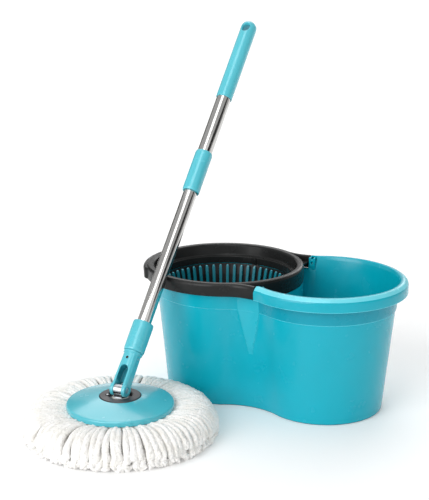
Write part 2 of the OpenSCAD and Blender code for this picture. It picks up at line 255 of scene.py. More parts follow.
class Mat:
    """A node material. Textures are placed by object coordinates."""

    def __init__(self, name):
        self.m = bpy.data.materials.new(name)
        self.m.use_nodes = True
        self.t = self.m.node_tree
        self.b = self.t.nodes["Principled BSDF"]
        self.co = self.node("ShaderNodeTexCoord").outputs["Object"]

    def node(self, kind, **kw):
        n = self.t.nodes.new(kind)
        for k, v in kw.items():
            setattr(n, k, v)
        return n

    def link(self, a, b):
        self.t.links.new(a, b)

    def mapping(self, scale, rot=(0, 0, 0)):
        n = self.node("ShaderNodeMapping")
        n.inputs["Scale"].default_value = scale
        n.inputs["Rotation"].default_value = rot
        self.link(self.co, n.inputs["Vector"])
        return n.outputs["Vector"]

    def noise(self, scale, detail=3.0, rough=0.5, vec=None, dist=0.0):
        n = self.node("ShaderNodeTexNoise")
        n.inputs["Scale"].default_value = scale
        n.inputs["Detail"].default_value = detail
        n.inputs["Roughness"].default_value = rough
        n.inputs["Distortion"].default_value = dist
        self.link(vec or self.co, n.inputs["Vector"])
        return n.outputs["Fac"]

    def ramp(self, fac, stops):
        n = self.node("ShaderNodeValToRGB")
        e = n.color_ramp.elements
        while len(e) < len(stops):
            e.new(0.5)
        for el, (p, c) in zip(e, stops):
            el.position, el.color = p, c if len(c) == 4 else (*c, 1)
        self.link(fac, n.inputs["Fac"])
        return n.outputs["Color"]

    def span(self, fac, lo, hi):
        """The middle of a noise, 0.3 to 0.7, spread over lo to hi."""
        n = self.node("ShaderNodeMapRange")
        for k, v in (("From Min", 0.3), ("From Max", 0.7), ("To Min", lo), ("To Max", hi)):
            n.inputs[k].default_value = v
        self.link(fac, n.inputs["Value"])
        return n.outputs["Result"]

    def bump(self, height, strength, dist, prev=None):
        n = self.node("ShaderNodeBump")
        n.inputs["Strength"].default_value = strength
        n.inputs["Distance"].default_value = dist
        self.link(height, n.inputs["Height"])
        if prev is not None:
            self.link(prev, n.inputs["Normal"])
        return n.outputs["Normal"]

    def set(self, **kw):
        """Sets inputs of the shader, with _ for each space in their names."""
        for k, v in kw.items():
            self.b.inputs[k.replace("_", " ")].default_value = v


def shade(c, k):
    """The colour made lighter or darker by a factor."""
    return (c[0] * k, c[1] * k, c[2] * k, 1.0)


def plastic(name, rgb, rough, var, grain, coat=0.0, spec=0.5):
    """Moulded plastic: faint flow marks in the colour, uneven gloss and a fine surface grain."""
    m = Mat(name)
    c = lin(*rgb)
    flow = m.noise(14, 4, 0.55, m.mapping((1, 1, 0.5)), 0.6)
    tone = m.ramp(flow, [(0.3, shade(c, 1 - var)), (0.7, shade(c, 1 + var))])
    m.link(tone, m.b.inputs["Base Color"])
    m.link(m.span(m.noise(40, 3), rough - 0.05, rough + 0.07), m.b.inputs["Roughness"])
    m.link(m.bump(m.noise(1800, 2, 0.6), grain, 0.0001), m.b.inputs["Normal"])
    m.set(Coat_Weight=coat, Coat_Roughness=0.12, Specular_IOR_Level=spec)
    return m.m


def steel(name, rgb, rough, rot, lines=(900, 900, 14), bump=0.05):
    """Metal with fine lines, which are long where the scale in lines is small."""
    m = Mat(name)
    c = lin(*rgb)
    drawn = m.noise(1.0, 3, 0.6, m.mapping(lines, rot))
    tone = m.ramp(drawn, [(0.3, shade(c, 0.86)), (0.7, shade(c, 1.06))])
    m.link(tone, m.b.inputs["Base Color"])
    m.link(m.span(drawn, rough - 0.05, rough + 0.08), m.b.inputs["Roughness"])
    m.link(m.bump(drawn, bump, 0.0002), m.b.inputs["Normal"])
    m.set(Metallic=1.0)
    return m.m


def yarn(name):
    """Microfibre chenille: soft white pile with small loops, with painted shade greying the
    hollows between them.
    """
    m = Mat(name)
    loops = m.node("ShaderNodeTexVoronoi", feature="SMOOTH_F1")
    loops.inputs["Scale"].default_value = 300
    m.link(m.co, loops.inputs["Vector"])
    fine = m.noise(1500, 4, 0.7)
    big = m.noise(60, 3)
    tone = m.ramp(big, [(0.3, lin(241, 239, 234)), (0.62, lin(251, 250, 248))])
    hollow_shade = (0.95, 0.945, 0.94)
    # painted shade: the pile is greyed towards the loops' hollows
    pile = m.ramp(loops.outputs["Distance"], [(0.0, (1, 1, 1)), (0.75, hollow_shade)])
    mix = m.node("ShaderNodeMix", data_type="RGBA", blend_type="MULTIPLY")
    mix.inputs["Factor"].default_value = 0.7
    m.link(tone, mix.inputs[6])
    m.link(pile, mix.inputs[7])
    m.link(mix.outputs[2], m.b.inputs["Base Color"])
    n = m.bump(loops.outputs["Distance"], 0.9, 0.0020)
    n = m.bump(fine, 0.5, 0.0005, n)
    m.link(n, m.b.inputs["Normal"])
    m.link(m.span(fine, 0.86, 1.0), m.b.inputs["Roughness"])
    m.set(Sheen_Weight=0.4, Sheen_Roughness=0.5, Specular_IOR_Level=0.15)
    return m.m


def greys(name, socket, scale, lo, hi, **settings):
    """A plain material whose colour in one socket varies a little between two greys."""
    m = Mat(name)
    tone = m.ramp(m.noise(scale, 2), [(0.3, (lo, lo, lo)), (0.7, (hi, hi, hi))])
    m.link(tone, m.b.inputs[socket])
    m.set(**settings)
    return m.m


TOOL_MAT = bpy.data.materials.new("tool")
# name, sRGB colour, roughness, variation of the colour, grain
M_BUCKET = plastic("bucket_turquoise", (2, 162, 181), 0.22, 0.03, 0.04, spec=0.36)
# painted highlight: a lighter turquoise for the light lines along the step's underside and the
# lip's lower edge
M_EDGE_HIGHLIGHT = plastic("bucket_edge_painted_highlight", (96, 214, 228), 0.30, 0.05, 0.05)
# painted highlight: a pale turquoise on the rim's outer bevel, for the bright band an overhead
# light gives
M_RIM_HIGHLIGHT = plastic("bucket_rim_painted_highlight", (104, 208, 222), 0.24, 0.05, 0.05)
# painted shadow: a darker turquoise for the shade the lip casts on the wall below it
M_LIP_SHADOW = plastic("bucket_band_painted_shadow", (3, 146, 167), 0.26, 0.04, 0.05, spec=0.3)
# painted shadow: a dark turquoise on the base's rounding, as the contact shadow line at the floor
M_FOOT_SHADOW = plastic("bucket_foot_painted_shadow", (2, 82, 96), 0.4, 0.05, 0.05, spec=0.2)
# painted light: a lighter turquoise for the light that the pushed-out waist panel catches
M_PANEL_LIGHT = plastic("bucket_waist_panel_painted_light", (34, 171, 189), 0.30, 0.035, 0.05)
M_BASKET = plastic("basket_turquoise", (14, 122, 138), 0.28, 0.05, 0.06)
# painted highlight: a pale turquoise on the fingers' rounded tops, for the light they catch
M_TIP_HIGHLIGHT = plastic("basket_tip_painted_highlight", (120, 206, 222), 0.28, 0.05, 0.06)
M_MOP = plastic("mop_turquoise", (80, 186, 201), 0.22, 0.03, 0.04, coat=0.5)
M_DARK = plastic("frame_charcoal", (29, 30, 30), 0.25, 0.15, 0.08, spec=0.2)
M_BRIDGE = plastic("bridge_charcoal", (18, 19, 21), 0.42, 0.12, 0.2)
M_INSERT = plastic("insert_grey", (50, 48, 52), 0.34, 0.10, 0.35)
M_NYLON = plastic("nylon_white", (232, 230, 220), 0.45, 0.04, 0.2)
# name, sRGB colour, roughness, turn of the lines, their scale, bump
M_NECK = steel("neck_silver", (196, 200, 204), 0.20, (0, math.pi / 2, 0), (300, 300, 30))
M_STEEL = steel("steel_tube", (208, 207, 205), 0.10, (LEAN, 0, 0))
M_ROD = steel("steel_rod", (176, 176, 180), 0.28, (LEAN, 0, 0), (200, 200, 60), 0.15)
M_SCREW = steel("steel_screw", (206, 208, 212), 0.34, (0, 0, 0), (600, 600, 600), 0.1)
M_BRASS = steel("brass_nut", (196, 160, 92), 0.3, (0, 0, 0), (500, 500, 500), 0.1)
M_YARN = yarn("microfibre_white")
# painted shade: a darker turquoise for the shade inside the yoke's front pocket
M_POCKET_SHADE = plastic("pocket_painted_shade", (30, 132, 148), 0.3, 0.05, 0.05)
# painted shade: near black for the shade inside the dimple and the insert's socket
M_HOLE_SHADE = plastic("socket_painted_shade", (24, 24, 26), 0.6, 0.2, 0.4)


# ---------------------------------------------------------------- two-lobe outline
def outline(kind, p, r):
    """A point of the outline at lobe radius r.

    Front and back (F, B) take an X, and the right and left lobes (R, L) a share of their arc.
    """
    if kind in "FB":
        q = DSUM - r
        if abs(p) <= q * math.cos(ANG):
            y = YF - math.sqrt(q * q - p * p)
        else:
            y = math.sqrt(r * r - (abs(p) - CR) ** 2)
        return (p, -y if kind == "F" else y)
    t1 = math.acos((ARC_X - CR) / r)
    t = -t1 + 2 * t1 * p if kind == "R" else t1 - 2 * t1 * p
    x = CR + r * math.cos(t)
    return (x if kind == "R" else -x, r * math.sin(t))


def wall_r(z):
    """The lobe radius of the wall's outside below the step."""
    return BASE_R + DRAFT * z


def panel_half(z):
    """Half the width of the waist panel, which widens upwards to the step."""
    return 2.0 + 17.0 * max(0.0, (min(z, STEP_Z) - PANEL_Z) / 80)


def sm(a, b, x):
    """A smooth step from 0 at a to 1 at b."""
    t = min(1.0, max(0.0, (x - a) / (b - a)))
    return t * t * (3 - 2 * t)


def bucket_geo():
    """The tub, its sill flange and the partition round the wringer chamber."""
    geo = Geo()
    # the section, from the base up the outside, over the rim and down the inside
    below = (12, 30, 50, 66, *range(72, 161, 4))
    outer = [(84, 0), (92.4, 0)]
    outer += [(wall_r(z), z) for z in below]
    outer += [(wall_r(162.6), 162.6), (wall_r(163.8) + STEP_OUT, 163.8),
              (wall_r(187.8) + STEP_OUT, 187.8), (wall_r(203) + STEP_OUT, 203),
              (117.5, 206.7), (123.4, 206.2), (125.1, 203.2), (125.2, 188.4), (127.35, 188.4),
              (127.3, 201.6), (126.3, 204.6), (122.2, 207.9), (118.2, RIM_Z), (115.2, 208.4),
              (113.3, 203.4), (110.6, 187.8), (wall_r(10) - WALL, 10), (88.4, 3.6), (80, 3.4)]
    rad = [0, 3.0] + [0] * len(below)
    rad += [0.15, 0.4, 0, 4, 3, 2, 3, 0.9, 0.9, 5, 3.5, 5, 4, 3, 3, 0, 5, 4, 0]
    rows = fillet(outer, rad, 4)
    left_top = SILL - 0.15
    crest = max(range(len(rows)), key=lambda k: rows[k][1])

    def place(kind, p, cls):
        """The section at one station. Left of the split, all above the sill is cut away."""
        out = []
        for k, (r, z) in enumerate(rows):
            x, y = outline(kind, p, r)
            if cls == "left" and z > left_top:
                rr = wall_r(SILL) + STEP_OUT - (0 if k < crest else WALL)
                x, y = outline(kind, p, rr)
                z = left_top
            elif cls != "left" and kind in "FB":
                d = x - SPLIT
                if d < END_R and z > SILL + 1:
                    drop = END_R - math.sqrt(max(0.0, END_R ** 2 - (END_R - d) ** 2))
                    z = SILL + (z - SILL) * (1 - drop / (RIM_Z - SILL))
                if cls == "post" and z > SILL - 0.2 and abs(y) < POST_RIM_Y:
                    y = math.copysign(POST_RIM_Y, y)
            # the wall's pushed-out panel runs down the waist and narrows to nothing
            if kind in "FB" and k < crest and 60 < z < 163.9:
                half = panel_half(z)
                m = (1 - sm(half - 1.2, half + 1.2, abs(x))) * sm(PANEL_Z, 110, z)
                room = STEP_OUT * m if z < 163.2 else 0
                if room:
                    x, y = outline(kind, p, r + room)
            out.append((x, y, z))
        return out

    # stations round the tub: beside the post, the full rim, then the cut-down left side
    post_x = [SPLIT, 17.1, 17.6, 18.3, 19.2, 20.4, 22, 24, 26.5, 29.3]
    full_x = [29.3, 30.6, 32.5, 35, 38, 41, 44, 47, ARC_X]
    right_f = [("F", x, "post") for x in post_x] + [("F", x, "full") for x in full_x]
    nlobe = 132
    lobe = [i / nlobe for i in range(1, nlobe)]
    right = right_f + [("R", w, "full") for w in lobe]
    right += [("B",) + s[1:] for s in reversed(right_f)]
    lx = sorted(set([-ARC_X + 1.2 * i for i in range(56)] + [SPLIT]))
    lx = [x for x in lx if x <= SPLIT]
    left_b = [("B", x, "left") for x in reversed(lx)]
    left_f = [("F", x, "left") for x in lx]
    st = right + left_b + [("L", w, "left") for w in lobe] + left_f
    pts = [place(*s) for s in st]
    n, m = len(pts), len(rows)
    v = [q for s in pts for q in s]
    f = []
    for i in range(n):
        j = (i + 1) % n
        f += [(i * m + k, j * m + k, j * m + k + 1, i * m + k + 1) for k in range(m - 1)]
    f.append(tuple(i * m for i in range(n)))
    f.append(tuple(i * m + m - 1 for i in reversed(range(n))))
    geo.add(v, f)

    # sill flange that carries the wringer frame
    sec = fillet([(112.6, 185.8), (112.6, 187.95), (120.9, 187.95), (120.9, 185.8)], 0.5, 2, True)
    end_x = 28.8
    path = [("F", x) for x in np.linspace(end_x, -ARC_X, 50)] + [("L", 1 - w) for w in lobe] \
        + [("B", x) for x in np.linspace(-ARC_X, end_x, 50)]
    geo.sweep([[(*outline(k, p, r), z) for r, z in sec] for k, p in path])

    # partition round the wringer chamber
    zs = [2.6, 8, 40, 80, 120, 150, 160, 166, 174, 179.6, 180.5]

    def reach(rad, z):
        """The angle at which the partition's arc runs into the wall, found by halving."""
        wr = wall_r(z) - 1.3 + (STEP_OUT if z > STEP_Z else 0)
        lo, hi = 0.2, 1.3
        for _ in range(40):
            t = (lo + hi) / 2
            x, y = -CR + rad * math.cos(t), rad * math.sin(t)
            q = DSUM - wr
            if abs(x) <= q * math.cos(ANG):
                inside = y < YF - math.sqrt(max(0, q * q - x * x))
            else:
                inside = math.hypot(x - math.copysign(CR, x), y) < wr
            lo, hi = (t, hi) if inside else (lo, t)
        return lo

    sect = []
    for rad, seq in ((124.8, zs), (122.6, zs[::-1])):
        for z in seq:
            sect.append((rad, z, reach(rad, min(z, 180))))
    cols = 60
    stations = []
    for i in range(cols + 1):
        turns = [-t + 2 * t * i / cols for _, _, t in sect]
        stations.append([(-CR + rad * math.cos(a), rad * math.sin(a), z)
                         for (rad, z, _), a in zip(sect, turns)])
    geo.sweep(stations)
    return geo


bucket = make("bucket_shell", bucket_geo(), M_BUCKET, 28)


def past_wall(c, r):
    """How far a point lies outside the outline at lobe radius r."""
    x = abs(c.x)
    if x > WAIST_X:
        return math.hypot(x - CR, c.y) - r
    return abs(c.y) - (YF - math.sqrt(max(0.0, (DSUM - r) ** 2 - x * x)))


def out_side(c):
    """True on the outside of the tub's wall."""
    slack = 0.0 if abs(c.x) > WAIST_X else 0.3
    return past_wall(c, wall_r(c.z) - 1) > -slack


# where the waist panel's painted light goes
def on_panel(c, n):
    inside = abs(c.x) < panel_half(c.z) - 0.9 and 90 < c.z < 187
    return inside and out_side(c) and abs(n.z) < 0.3


# where the painted highlight line under the wall's step goes
def under_step(c, n):
    return 162.4 < c.z < 164.1 and n.z < -0.25 and out_side(c) and abs(c.x) > 19


# where the painted lip shadow on the right lobe's wall goes
def below_lip(c, n):
    return 164.0 < c.z < 187.9 and abs(n.z) < 0.3 and c.x > 19 and out_side(c)


# where the painted contact shadow at the foot goes
def at_foot(c, n):
    return c.z < 1.6 and n.z < 0.2 and out_side(c)


# where the painted highlight band on the full rim's outer bevel goes
def on_bevel(c, n):
    return c.z > 203.6 and n.z > 0.4 and 0.3 < past_wall(c, 120) < 7 and c.x > 16


# where the painted highlight line along the lip's lower edge goes
def lip_edge(c, n):
    return 188.2 < c.z < 189.6 and -0.95 < n.z < -0.1 and out_side(c)


# painted light and shade on the tub's faces: a later one goes over an earlier one
for painted_light_mat, where in ((M_PANEL_LIGHT, on_panel), (M_EDGE_HIGHLIGHT, under_step), (M_LIP_SHADOW, below_lip),
                        (M_FOOT_SHADOW, at_foot), (M_RIM_HIGHLIGHT, on_bevel), (M_EDGE_HIGHLIGHT, lip_edge)):
    paint(bucket, painted_light_mat, where)
for side in (-1, 1):
    y = side * POST_Y
    g = Geo().box((17.5, y - 4.7, 186.9), (27.9, y + 4.7, 207.1))
    post = make("lock_post_front" if side < 0 else "lock_post_back", g, M_BUCKET)
    drill = tool(cyl(2.1, -9, 9, 32), Matrix.Translation((22.7, y, 198.2)) @ ROT_Y)
    slot_cut = tool(Geo().box((20.4, y - 8, 203.6), (25, y + 8, 210)))
    cut(post, drill, slot_cut)
    bevel(post, 0.6, 3, 40, M_BUCKET)
    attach(post, "bucket_unit")
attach(bucket, "bucket_unit")
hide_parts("bucket")


# ---------------------------------------------------------------- wringer frame
def frame_geo():
    """The ring over the basket, its outer band, webs, lug and screw bosses."""
    geo = Geo()
    ring = [(123.4, 188.3), (125.4, 188.3), (125.6, 204.2), (124.2, 207.2), (120.6, 208.45),
            (116.6, 208.2), (114.2, 205.8), (112.1, 192.2), (110.4, 190.3), (107.9, 190),
            (106.9, 188.8), (106, 178.2), (108, 178.2), (108.6, 186.2), (109.6, 188.1),
            (113.8, 188.1), (115.9, 204.4), (117.6, 206.2), (122.4, 205.8), (123.6, 204)]
    rad = [0.6, 0.6, 3, 3, 4, 3, 2.4, 1.4, 1.2, 1.2, 1.0, 0.7, 0.7, 0.8, 0.8, 0.8, 1.5, 1.5, 1.5,
           1.0]
    geo.lathe(fillet(ring, rad, 4, True), 224, closed=True, centre=(-CR, 0))
    # deeper wall over the partition
    deep = fillet([(123.5, 181.1), (125.3, 181.1), (125.3, 190), (123.5, 190)], 0.6, 2, True)
    geo.lathe(deep, 60, -0.7, 0.7, True, (-CR, 0))
    # outer band: round the lobe, then along the waist to its two ends
    band = [(118.6, 188.5), (118.6, 207.4), (120.2, 208.6), (123.8, 208.4), (126.4, 206.7),
            (127.2, 203.8), (127.4, 188.5)]
    sec = fillet(band, [0.5, 1.0, 2.5, 2.5, 2.5, 2.5, 0.8], 4, True)
    end_x, end_r, far = 16.5, 0.9, 9.0        # the band's ends, their rounding, away from them
    xs = [end_x, 16.35, 16.0, 15.5, 14.8] + list(np.linspace(13.5, -ARC_X, 44))
    path = [("F", x) for x in xs] + [("L", 1 - i / 130) for i in range(1, 130)]
    path += [("B", x) for x in reversed(xs)]
    stations = []
    for k, p in path:
        s = []
        d = end_x - p if k in "FB" else far
        drop = end_r - math.sqrt(max(0.0, end_r ** 2 - (end_r - d) ** 2)) if d < end_r else 0
        for r, z in sec:
            rr = r - drop * (1 if r > 123 else -1) * 0.6
            s.append((*outline(k, p, rr), z - (drop if z > 200 else 0)))
        stations.append(s)
    geo.sweep(stations)
    # web between the ring and the band at the two waist corners
    for sgn in (-1, 1):
        a = [(x, sgn * abs(outline("F", x, 119)[1])) for x in np.linspace(-14, 15.8, 16)]
        b = []
        for x, y in a:
            dx = x + CR
            b.append((x, sgn * math.sqrt(max(0, ROOT_R ** 2 - dx * dx)) if dx < 124 else sgn * 60))
        keep = [(p, q) for p, q in zip(a, b) if abs(q[1]) < abs(p[1])]
        if len(keep) > 2:
            geo.sweep([[(*p, 197.5), (*p, 199.5), (*q, 199.5), (*q, 197.5)] for p, q in keep])
    # lug: a wider lip round the left end, which fades out at both its ends
    half = math.radians(44)
    n = 96
    lug = [(ROOT_R, 188.9), (131.2, 188.9), (131.8, 203.0), (130.4, 205.4), (128, 206.6),
           (ROOT_R, 206.4)]
    sec = fillet(lug, [0.3, 1.2, 3, 3, 3, 0.3], 4, True)
    st = []
    for i in range(n + 1):
        a = math.pi - half + 2 * half * i / n
        e = min(i, n - i) / n * 2 * half
        k = sm(0, 0.085, e)
        s = []
        for r, z in sec:
            rr = ROOT_R + (r - ROOT_R) * (0.22 + 0.78 * k)
            s.append((-CR + rr * math.cos(a), rr * math.sin(a), z))
        st.append(s)
    geo.sweep(st)
    # bosses for the bridge screws
    for a in (90, 210, 330):
        t = math.radians(a)
        c = (-CR + 106.6 * math.cos(t), 106.6 * math.sin(t))
        geo.lathe(fillet([(0, 178), (2.9, 178), (2.9, 189), (0, 189)], 0.4, 2), 28, centre=c)
    return geo


wf = make("wringer_frame_shell", frame_geo(), M_DARK, 40)
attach(wf, "bucket_unit")
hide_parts("wringer_frame")


# ---------------------------------------------------------------- basket
def basket_geo():
    """The slotted basket, as a grid of columns by rows with the slots' faces left out."""
    geo = Geo()
    per = 8                                   # columns in one finger pitch
    cols = FINGERS * per
    floor_in = FL_Z + 3.2
    outer = [(12, 75.2), (16, FL_Z), (34, FL_Z), (76, FL_Z), (84.5, FL_Z), (89.2, FL_Z + 5),
             (90.6, 97), (91.6, 105.6), (92.6, 112), (96, 138), (100, 158), (BASK_R - 1.2, 172),
             (BASK_R - 0.4, 175), (BASK_R - 1.4, TOP_Z)]
    inner = [(BASK_R - 3.0, TOP_Z - 0.2), (BASK_R - 3.8, 174.4), (BASK_R - 4.4, 172), (96.6, 158),
             (92.8, 138), (89.2, 112), (88.3, 105.6), (87.4, 99), (85.6, FL_Z + 6.5),
             (82, floor_in), (76, floor_in), (34, floor_in), (20, floor_in), (13.4, 110),
             (11, 116), (7.2, 116), (7.2, 75.2)]
    rows = outer + inner
    m = len(rows)
    twins = 27                                # outer row k lies across the wall from row 27 - k
    foot, tip = 7, 13                         # outer rows at a slot's foot and at a finger's tip
    pitch, slot_w = 11.63, 6.8                # at radius 100
    drains = (10, 11, 12, 13)                 # columns of a drain slot, in each three pitches

    def warp(i, r, z):
        """Fingers narrow at their tips, so that the tip is round."""
        c = (i // per) * per + 3
        off = i - c
        if z > 104.9 and -3 <= off <= 3:
            half = (pitch - slot_w) / 2 / 100    # half a finger, in radians
            w = off / 3 * half
            if z > 171:
                k = (z - 171) / (TOP_Z - 171)
                w *= math.sqrt(max(0.04, 1 - 0.75 * k * k))
            return TAU * c / cols + w
        return TAU * i / cols

    v = []
    for i in range(cols):
        for r, z in rows:
            a = warp(i, r, z)
            v.append((-CR + r * math.cos(a), r * math.sin(a), z))
    solid = {}
    for i in range(cols):
        for k in range(m):
            l = (k + 1) % m
            z0, z1 = rows[k][1], rows[l][1]
            r0, r1 = rows[k][0], rows[l][0]
            off = i % per
            gap = off in (6, 7) and min(z0, z1) >= 105.5 and max(r0, r1) > 60
            floor_row = min(r0, r1) >= 34 and max(r0, r1) <= 76 and max(z0, z1) < 90
            drain = floor_row and (i + 6) % 24 in drains
            solid[i, k] = not (gap or drain)
    f = []
    for (i, k), full in solid.items():
        if full:
            a, b, l = i * m, ((i + 1) % cols) * m, (k + 1) % m
            f.append((a + k, b + k, b + l, a + l))
    # side walls of the fingers
    for i in range(cols):
        if i % per in (0, 6):
            a = i * m
            for k in range(foot, tip):
                f.append((a + k, a + k + 1, a + twins - k - 1, a + twins - k))
    # the slots' feet, then the end walls and side walls of the drain slots
    for i in range(cols):
        a, b = i * m, ((i + 1) % cols) * m
        if i % per in (6, 7):
            f.append((a + foot, b + foot, b + twins - foot, a + twins - foot))
        d = (i + 6) % 24
        if d in (10, 14):
            f.append((a + 2, a + 3, a + twins - 3, a + twins - 2))
        if d in drains:
            for k in (2, 3):
                f.append((a + k, b + k, b + twins - k, a + twins - k))
    return geo.add(v, f)


basket = make("spin_basket_fingers", basket_geo(), M_BASKET, 50)
bevel(basket, 0.55, 2, 50, M_BASKET)
# painted highlight on the fingers' tops
paint(basket, M_TIP_HIGHLIGHT, lambda c, n: c.z > 175.0 and n.z > 0.45)
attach(basket, "basket")
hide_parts("spin_basket")

# ---------------------------------------------------------------- mop plate
plate_rows = fillet(
    [(77.2, 41.2), (80, 41.2), (80, 47.4), (78.4, 49.5), (56, 54.2), (31.2, 59.2), (31.2, 54.2),
     (25, 54.2), (25, 51.5), (34, 51.4), (57.8, 51), (57.8, 36), (60.6, 36), (60.6, 50.4),
     (76.2, 47.2), (77.2, 46.4)],
    [0.6, 0.6, 1.6, 2.4, 30, 0.8, 0.4, 0.4, 0.4, 0.5, 0.5, 0.6, 0.6, 0.5, 0.8, 0.5], 5, True)
plate = make("mop_plate_dish", Geo().lathe(plate_rows, 160, closed=True, centre=MOP), M_MOP, 35)
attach(plate, "head")
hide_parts("mop_plate")


# ---------------------------------------------------------------- microfibre strands
def strands():
    """Three layers of strands, in tufts, and the section of the plain core under them."""
    rng = random.Random(7)
    geo = Geo()
    core = fillet([(26, 1.5), (126, 1.5), (134, 6), (134, 18), (126, 29), (108, 36), (79, 36.2),
                   (60, 32), (26, 21)], [0, 3, 6, 6, 8, 10, 3, 3, 0], 3)
    # for each layer from the top: tufts, path rows (radius, height), strand radius at both ends
    layers = [
        (29, [(70, 37.2), (84, 40.6), (98, 43.0), (114, 42.4), (128, 37.6), (138, 26.0),
              (140.6, 9.6)], 3.3, 5.4),
        (29, [(74, 33), (92, 35.5), (110, 34.5), (125, 28.0), (134.5, 18.0), (139.6, 9.0),
              (140.6, 5.8)], 3.5, 5.4),
        (27, [(80, 24), (98, 24), (114, 20), (127, 12.5), (134, 7.4), (139, 5.6),
              (141.2, 5.5)], 3.8, 5.3),
    ]
    per = 3                                   # strands in a tuft
    sides, segs = 12, 60
    lowest = 0.15                             # the strands stay this far above the floor
    for li, (tufts, path, ra, rb) in enumerate(layers):
        p = np.array(path, float)
        count = tufts * per
        turn = [rng.uniform(-0.06, 0.06) for _ in range(tufts)]
        for i in range(count):
            tuft, pos = divmod(i, per)
            pos -= (per - 1) / 2
            place = tuft + 0.37 * li + turn[tuft] + (pos + rng.uniform(-0.16, 0.16)) / per
            a = TAU * place / tufts
            pinch = -pos / per * TAU / tufts * 0.20
            curl = rng.uniform(-0.03, 0.03)
            lift = rng.uniform(-0.8, 0.9)
            reach = rng.uniform(0.93, 1.0) if li == 0 else rng.uniform(0.96, 1.0)
            swell = rng.uniform(0.9, 1.08)
            ph, tw = rng.uniform(0, TAU), rng.choice((-1, 1)) * rng.uniform(0.9, 1.2)
            wob = rng.uniform(0, TAU)
            pts = []
            for s in range(segs + 1):
                t = s / segs * reach
                x = t * (len(p) - 1)
                k = min(int(x), len(p) - 2)
                w = x - k
                p0, p1, p2, p3 = p[max(k - 1, 0)], p[k], p[k + 1], p[min(k + 2, len(p) - 1)]
                # Catmull-Rom curve through the path rows
                q = 0.5 * (2 * p1 + (p2 - p0) * w + (2 * p0 - 5 * p1 + 4 * p2 - p3) * w * w
                           + (3 * p1 - p0 - 3 * p2 + p3) * w ** 3)
                r = q[0]
                z = q[1] + lift * t - abs(pos) * 1.5 * (1 - sm(0.1, 0.6, t))
                aa = a + pinch * (1 - sm(0.1, 0.75, t)) + curl * t * t \
                    + 0.012 * math.sin(wob + 7 * t) * t
                pts.append(np.array([MOP[0] + r * math.cos(aa), MOP[1] + r * math.sin(aa), z]))
            st = []
            side = np.array([-math.sin(a), math.cos(a), 0])
            length = 0.0
            for s in range(segs + 1):
                d = pts[min(s + 1, segs)] - pts[max(s - 1, 0)]
                d = d / np.linalg.norm(d)
                if s:
                    length += np.linalg.norm(pts[s] - pts[s - 1])
                sx = side - d * (side @ d)
                sx = sx / np.linalg.norm(sx)
                up = np.cross(d, sx)
                t = s / segs
                rad = (ra + (rb - ra) * sm(0, 0.75, t)) * swell
                endr = math.sqrt(max(0.02, 1 - max(0.0, (t - 0.93) / 0.07) ** 2))
                ring = []
                for j in range(sides):
                    f = TAU * j / sides
                    twist = math.sin(2 * f + tw * length * 0.9 + ph) * math.sin(length + ph)
                    loops = math.sin(3 * f - length * 0.95 + ph) * math.sin(length * 0.8 + 2 * f)
                    knob = 1 + 0.10 * twist + 0.13 * loops * sm(0.05, 0.5, t) \
                        + rng.uniform(-0.06, 0.06) \
                        + (0.14 + 0.22 * math.sin(3 * f + 2 * ph)) * sm(0.84, 0.93, t)
                    rr = rad * knob * endr
                    q = pts[s] + sx * (rr * math.cos(f)) + up * (rr * 0.92 * math.sin(f))
                    q[2] = max(q[2], lowest)
                    ring.append(tuple(q))
                st.append(ring)
            geo.sweep(st)
    return geo, core


yarn_geo, core_rows = strands()
mop = make("microfibre_strands", yarn_geo, M_YARN, 180, 0.0001)
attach(mop, "head")
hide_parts("mop_yarn")
core = make("microfibre_core", Geo().lathe(core_rows, 128, centre=MOP), M_YARN, 180)
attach(core, "head")


# ---------------------------------------------------------------- yoke, neck, sleeve, collar, grip
def pole_tool(geo, m=None):
    """A tool placed in the pole's own frame."""
    return tool(geo, POLE if m is None else POLE @ m)


def T(x, y, z):
    return Matrix.Translation((x, y, z))


# the shank, cut flat on its sides, then the pin bosses and the round socket are added
yoke = make("yoke_clevis", cyl(14.4, 0.0, 57, 72, 13.0), M_MOP, matrix=POLE)
cut(yoke, pole_tool(Geo().box((-12.5, -10.02, -1), (12.5, 10.02, 60))), op="INTERSECT")
for s, turn in ((-1, ROT_X.inverted()), (1, ROT_X)):
    cut(yoke, pole_tool(cyl(9.97, -3.0, 2.83, 64), T(s * 9.75, 0, 0) @ turn), op="UNION")
cut(yoke, pole_tool(cyl(12.47, 30.3, 57.4, 64)), pole_tool(cyl(14.4, 56.1, 59.7, 64)), op="UNION")
# the fork's opening and front pocket, two pin seats, the rivet's seat, the dimple, the tube
cut(yoke, pole_tool(Geo().box((-7, -20, -12), (7, 20, 12.5))),
    pole_tool(Geo().box((-7.01, -20.5, 10), (7.01, 3.5, 29.02))),
    pole_tool(cyl(7.0, -3.6, 21, 48), T(0, 0, 29) @ ROT_Y.inverted()),
    pole_tool(cyl(5.0, -14, -9.6, 48), ROT_X),
    pole_tool(cyl(5.0, 9.6, 14, 48), ROT_X),
    pole_tool(cyl(2.3, 11.2, 14, 32), T(0, 0, 50) @ ROT_X),
    pole_tool(cyl(2.1, -14, -10.9, 32), T(0, 0, RIVET_Z) @ ROT_Y),
    pole_tool(cyl(LOW_R, 52, 80, 48)))
soften(yoke, 0.42, 5, M_MOP, 70)
TO_POLE = POLE.inverted()


def in_dimple(c, n):
    p = TO_POLE @ c
    return math.hypot(p.x, p.z - RIVET_Z) < 2.15 and p.y < -9


def in_pocket(c, n):
    p = TO_POLE @ c
    return abs(p.x) < 7.3 and -9.0 < p.y < 4.6 and 12.6 < p.z < 36.6


# painted shade inside the yoke's front pocket
paint(yoke, M_POCKET_SHADE, in_pocket)
# painted shade inside the rivet's dimple
paint(yoke, M_HOLE_SHADE, in_dimple)
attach(yoke, "lower_pole")
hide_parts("yoke")

